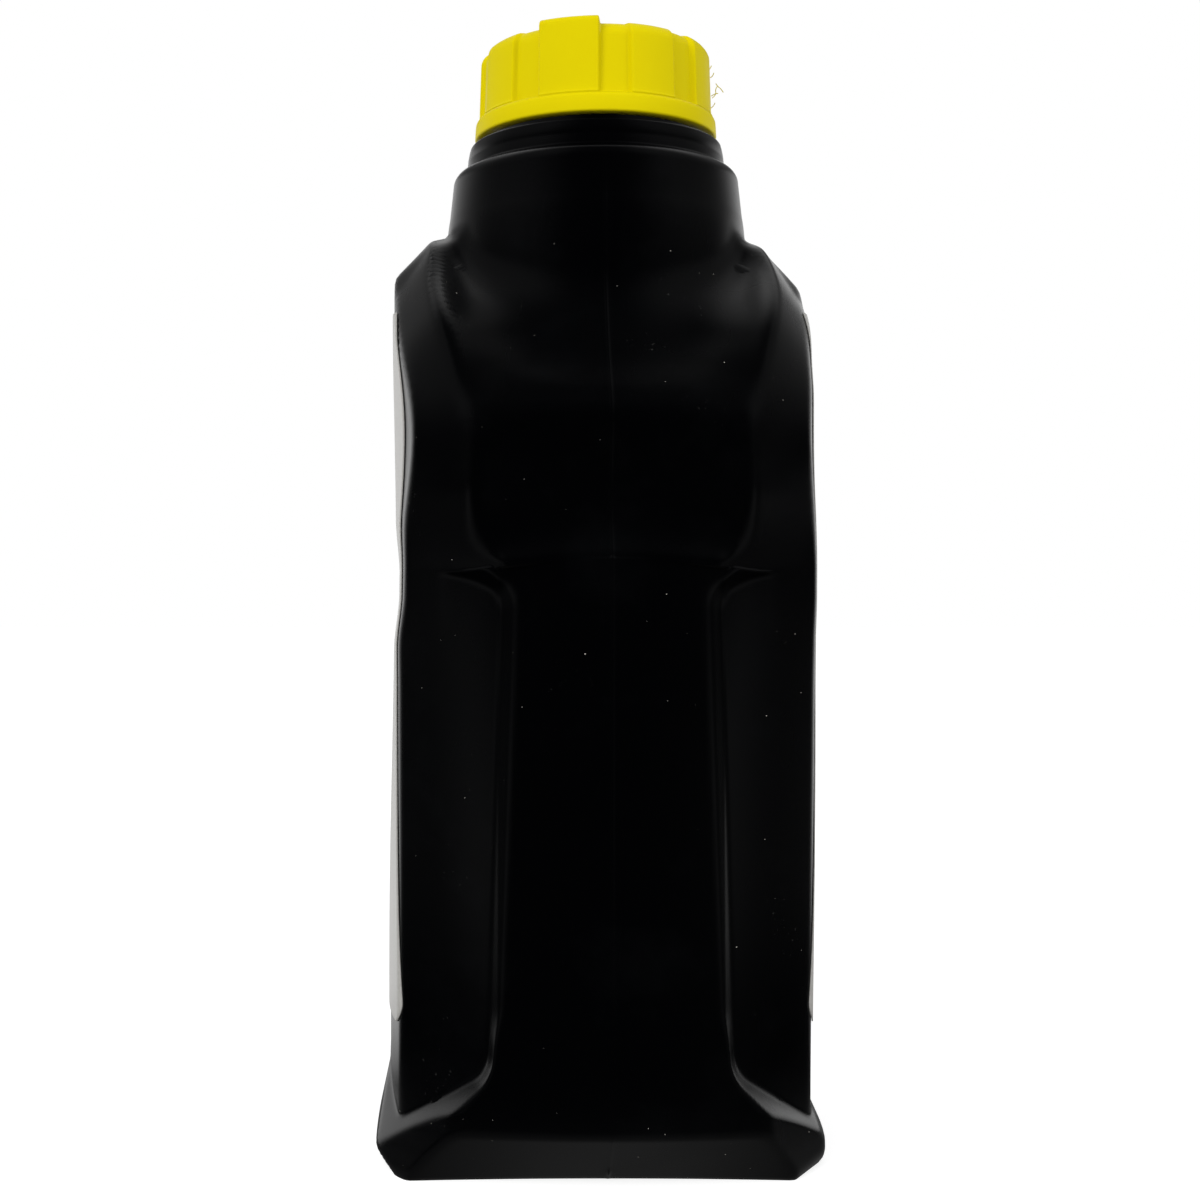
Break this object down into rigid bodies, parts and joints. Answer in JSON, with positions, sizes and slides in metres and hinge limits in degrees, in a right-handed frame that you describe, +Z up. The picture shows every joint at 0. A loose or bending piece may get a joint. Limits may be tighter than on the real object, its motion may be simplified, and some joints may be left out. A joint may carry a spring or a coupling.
{
  "type": "motor oil bottle",
  "caption": "Tall black blow-moulded oil bottle with a grip waist, humped shoulders, a conical tower and a ribbed yellow screw cap.",
  "frame": {"origin": "middle of the base, on the surface that the bottle stands on", "axes": "+Z up along the neck; -Y faces the narrow side with the cap's tall pad nearest; the labels face +X and -X"},
  "size_m": [0.0884, 0.098, 0.2212],
  "materials": {
    "black_bottle_plastic": "satin moulded",
    "yellow_cap_plastic": "satin moulded",
    "liner_foam": "smooth foamed sheet",
    "front_label_film": "printed film",
    "back_label_film": "printed film"
  },
  "bodies": {
    "bottle": {"bottle_body": "black_bottle_plastic", "front_label": "front_label_film", "back_label": "back_label_film"},
    "seal": {"cap_liner": "liner_foam"},
    "cap": {"screw_cap": "yellow_cap_plastic"}
  },
  "joints": [
    {"name": "cap_rise", "type": "slide", "parent": "bottle", "child": "seal", "axis": [0, 0, 1], "range_m": [0, 0.01501]},
    {"name": "cap_turn", "type": "hinge", "parent": "seal", "child": "cap", "pos_m": [0, 0, 0.21], "axis": [0, 0, 1], "range_deg": [0, 900]}
  ],
  "couplings": [
    {"joint": "cap_rise", "follows": "cap_turn", "m_per_rad": 0.00095493}
  ]
}
